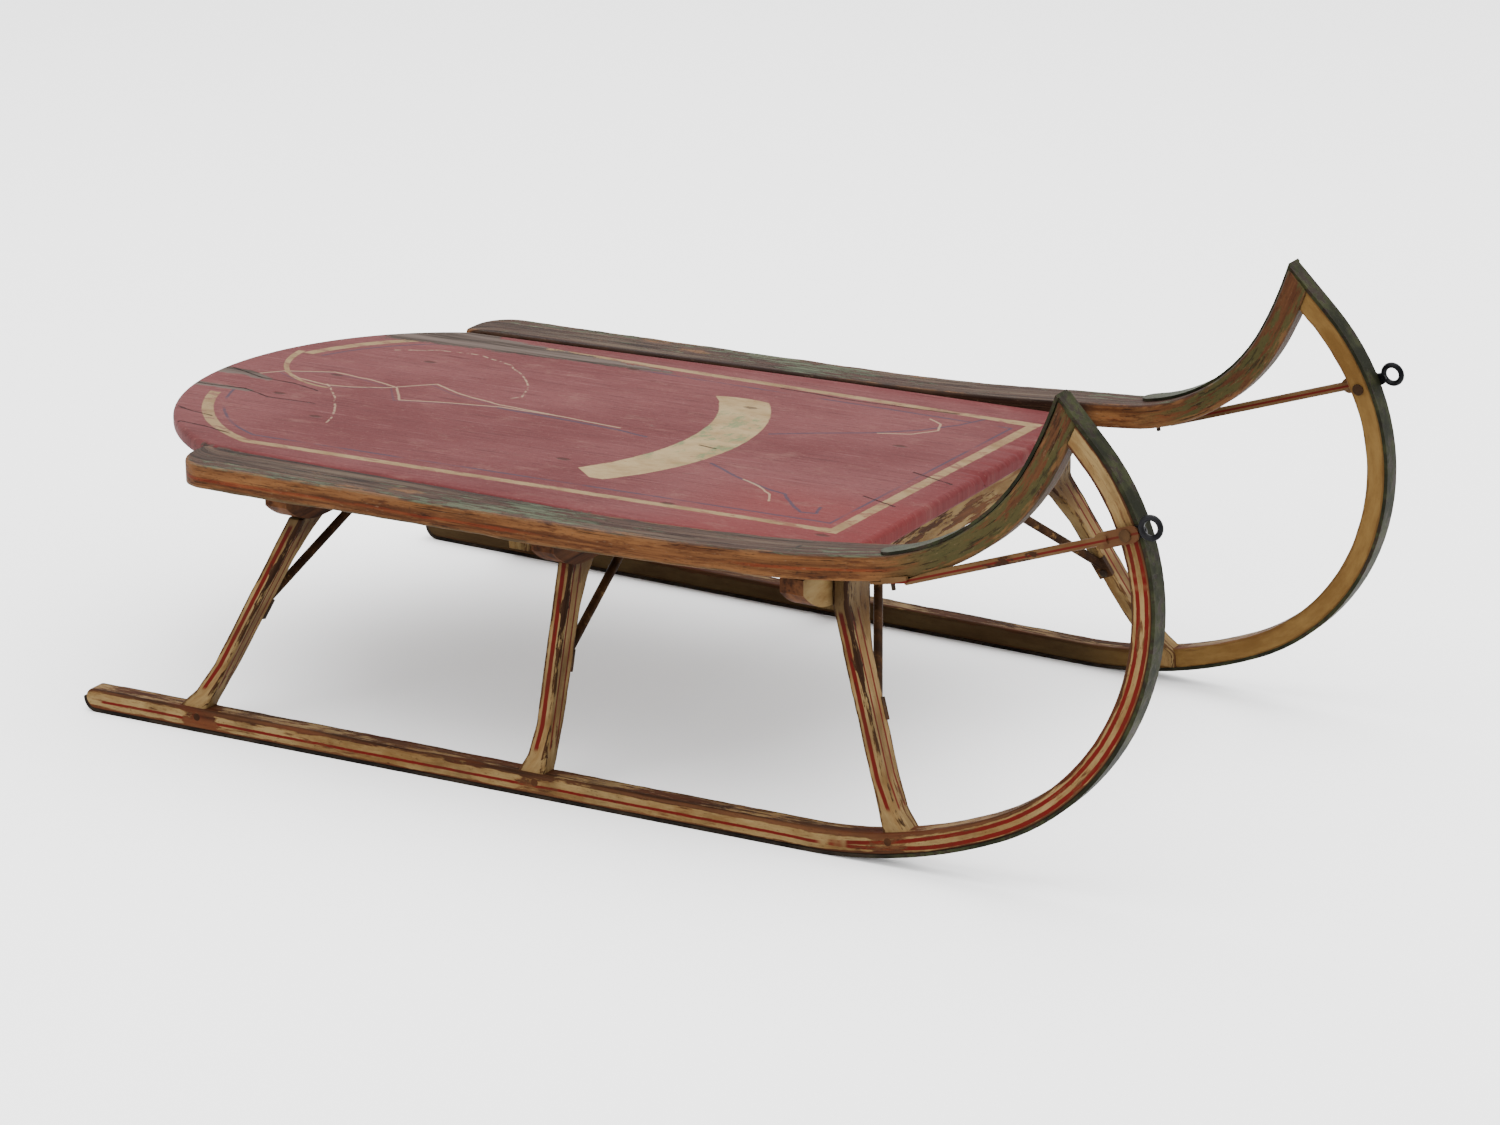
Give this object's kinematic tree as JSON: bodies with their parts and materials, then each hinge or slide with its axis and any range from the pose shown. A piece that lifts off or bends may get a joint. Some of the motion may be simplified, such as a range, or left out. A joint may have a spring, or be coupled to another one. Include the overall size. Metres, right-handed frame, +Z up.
{
  "type": "wooden bow-runner sled",
  "caption": "Antique painted wooden toboggan: a wide board between side rails, on splayed posts and bent, iron-shod runners that curl up to meet the rails.",
  "frame": {"origin": "under the middle of the sled's bounding box, on the ground", "axes": "+X forward, towards the curled-up runner tips; +Y the sled's left side; +Z up"},
  "size_m": [0.9486, 0.4966, 0.362],
  "materials": {
    "board_paint": "old dusty red oil paint over pine, cream and blue-grey striping, worn to grey wood in patches",
    "rail_paint": "worn varnished hardwood, grey-brown on top, orange-brown at the sides, remnants of green paint",
    "runner_paint": "cream and ochre paint with red striping, worn to brown wood at the edges",
    "post_paint": "cream and ochre paint with red striping, worn to brown wood",
    "beam_paint": "brown wood with old cream paint on the front side",
    "shoe_iron": "blackened iron with remnants of olive-green paint",
    "brace_iron": "iron rod with worn cream paint and a red line",
    "stay_iron": "iron rod with worn brown and cream paint",
    "eye_iron": "blackened iron, slightly polished by use",
    "rivet_iron": "iron, painted over and worn",
    "screw_iron": "dull iron",
    "nail_iron": "iron worn bright underneath",
    "peg_wood": "end grain, dark"
  },
  "bodies": {
    "root": {"brace_left": "brace_iron", "brace_right": "brace_iron", "brace_rivet_left": "rivet_iron", "brace_rivet_right": "rivet_iron", "brace_screws": "screw_iron", "crossbeam_front": "beam_paint", "crossbeam_middle": "beam_paint", "crossbeam_rear": "beam_paint", "deck": "board_paint", "deck_screws": "screw_iron", "foot_pegs": "peg_wood", "post_front_left": "post_paint", "post_front_right": "post_paint", "post_middle_left": "post_paint", "post_middle_right": "post_paint", "post_rear_left": "post_paint", "post_rear_right": "post_paint", "rail_left": "rail_paint", "rail_right": "rail_paint", "rail_screws": "screw_iron", "rear_cleat": "beam_paint", "runner_left": "runner_paint", "runner_right": "runner_paint", "shoe_left": "shoe_iron", "shoe_nails": "nail_iron", "shoe_right": "shoe_iron", "stay_front_left": "stay_iron", "stay_front_right": "stay_iron", "stay_middle_left": "stay_iron", "stay_middle_right": "stay_iron", "stay_rear_left": "stay_iron", "stay_rear_right": "stay_iron", "stay_screws": "screw_iron", "tow_eye_left": "eye_iron", "tow_eye_right": "eye_iron"}
  },
  "joints": []
}
